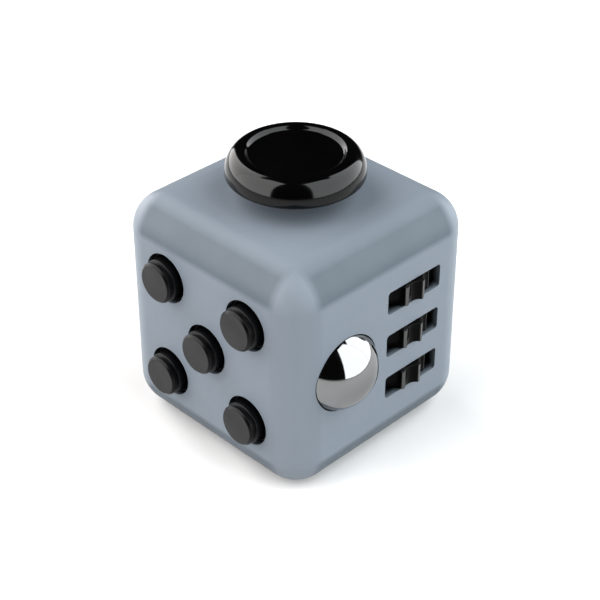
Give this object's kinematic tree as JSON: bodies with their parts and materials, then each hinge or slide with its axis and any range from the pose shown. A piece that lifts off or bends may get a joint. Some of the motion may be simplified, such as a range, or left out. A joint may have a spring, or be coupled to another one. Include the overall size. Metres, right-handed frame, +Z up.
{
  "type": "fidget cube",
  "caption": "Palm-sized rounded cube desk toy with push buttons, sliding joystick, rolling ball, thumb wheels, rocker switch and turning dial.",
  "frame": {"origin": "centre of the square base it stands on, in the plane of the base", "axes": "+Z up to the joystick, -Y out of the button face, +X out of the ball and wheel face"},
  "size_m": [0.0395, 0.0375, 0.0393],
  "materials": {
    "shell_plastic": "satin",
    "button_plastic": "matte",
    "guide_plastic": "matte",
    "silicone": "matte",
    "inner_plastic": "matte",
    "spring_steel": "satin",
    "zinc_steel": "satin",
    "chrome": "polished",
    "gear_plastic": "satin",
    "gloss_black": "polished",
    "rocker_plastic": "satin",
    "dial_plastic": "satin"
  },
  "bodies": {
    "cube": {"shell": "shell_plastic", "base_cover": "shell_plastic", "button_guide": "guide_plastic", "keypad_membrane": "silicone", "click_domes": "spring_steel", "keypad_plate": "inner_plastic", "keypad_screws": "zinc_steel", "ball_spring": "spring_steel", "roll_bracket": "inner_plastic", "gear_axle": "zinc_steel", "gear_spacers": "zinc_steel", "gear_detent_spring": "spring_steel", "roll_screws": "zinc_steel", "centring_web": "silicone", "glide_housing": "inner_plastic", "glide_screws": "zinc_steel", "rocker_pin": "zinc_steel", "rocker_frame": "rocker_plastic", "rocker_spring": "spring_steel", "rocker_screws": "zinc_steel", "dial_spring_washer": "spring_steel"},
    "button_top_left": {"button_top_left": "button_plastic"},
    "button_top_right": {"button_top_right": "button_plastic"},
    "button_centre": {"button_centre": "button_plastic"},
    "button_bottom_left": {"button_bottom_left": "button_plastic"},
    "button_bottom_right": {"button_bottom_right": "button_plastic"},
    "glide_slide": {"cross_slide": "inner_plastic"},
    "joystick": {"joystick_cap": "gloss_black", "joystick_stem": "inner_plastic"},
    "ball_carrier": {"ball_cup": "inner_plastic"},
    "ball": {"steel_ball": "chrome"},
    "gear_top": {"gear_top": "gear_plastic"},
    "gear_middle": {"gear_middle": "gear_plastic"},
    "gear_bottom": {"gear_bottom": "gear_plastic"},
    "rocker": {"rocker": "rocker_plastic"},
    "dial": {"dial": "dial_plastic", "dial_retainer": "zinc_steel", "dial_screw": "zinc_steel"}
  },
  "joints": [
    {"name": "button_top_left_press", "type": "slide", "parent": "cube", "child": "button_top_left", "axis": [0, 1, 0], "range_m": [0, 0.001], "stiffness_N_per_m": 800, "springref_m": -0.0008, "deforming": ["keypad_membrane", "click_domes"]},
    {"name": "button_top_right_press", "type": "slide", "parent": "cube", "child": "button_top_right", "axis": [0, 1, 0], "range_m": [0, 0.001], "stiffness_N_per_m": 800, "springref_m": -0.0008},
    {"name": "button_centre_press", "type": "slide", "parent": "cube", "child": "button_centre", "axis": [0, 1, 0], "range_m": [0, 0.001], "stiffness_N_per_m": 800, "springref_m": -0.0008},
    {"name": "button_bottom_left_press", "type": "slide", "parent": "cube", "child": "button_bottom_left", "axis": [0, 1, 0], "range_m": [0, 0.001], "stiffness_N_per_m": 800, "springref_m": -0.0008},
    {"name": "button_bottom_right_press", "type": "slide", "parent": "cube", "child": "button_bottom_right", "axis": [0, 1, 0], "range_m": [0, 0.001], "stiffness_N_per_m": 800, "springref_m": -0.0008},
    {"name": "glide_x", "type": "slide", "parent": "cube", "child": "glide_slide", "axis": [1, 0, 0], "range_m": [-0.0012, 0.0012], "stiffness_N_per_m": 300, "deforming": ["centring_web"]},
    {"name": "glide_y", "type": "slide", "parent": "glide_slide", "child": "joystick", "axis": [0, 1, 0], "range_m": [-0.0012, 0.0012], "stiffness_N_per_m": 300},
    {"name": "ball_press", "type": "slide", "parent": "cube", "child": "ball_carrier", "axis": [-1, 0, 0], "range_m": [0, 0.0008], "stiffness_N_per_m": 1500, "springref_m": -0.0006, "deforming": ["ball_spring"]},
    {"name": "ball_roll", "type": "hinge", "parent": "ball_carrier", "child": "ball", "pos_m": [0.0142, -0.0073, 0.0166], "axis": [0, 0, 1], "continuous": true},
    {"name": "gear_top_spin", "type": "hinge", "parent": "cube", "child": "gear_top", "pos_m": [0.01295, 0.00505, 0.0234], "axis": [0, 0, 1], "continuous": true, "deforming": ["gear_detent_spring"]},
    {"name": "gear_middle_spin", "type": "hinge", "parent": "cube", "child": "gear_middle", "pos_m": [0.01295, 0.00505, 0.0167], "axis": [0, 0, 1], "continuous": true},
    {"name": "gear_bottom_spin", "type": "hinge", "parent": "cube", "child": "gear_bottom", "pos_m": [0.01295, 0.00505, 0.01], "axis": [0, 0, 1], "continuous": true},
    {"name": "rocker_flip", "type": "hinge", "parent": "cube", "child": "rocker", "pos_m": [0, 0.0126, 0.0165], "axis": [-1, 0, 0], "range_deg": [0, 20], "deforming": ["rocker_spring"]},
    {"name": "dial_spin", "type": "hinge", "parent": "cube", "child": "dial", "pos_m": [-0.0165, 0, 0.0165], "axis": [-1, 0, 0], "continuous": true}
  ]
}
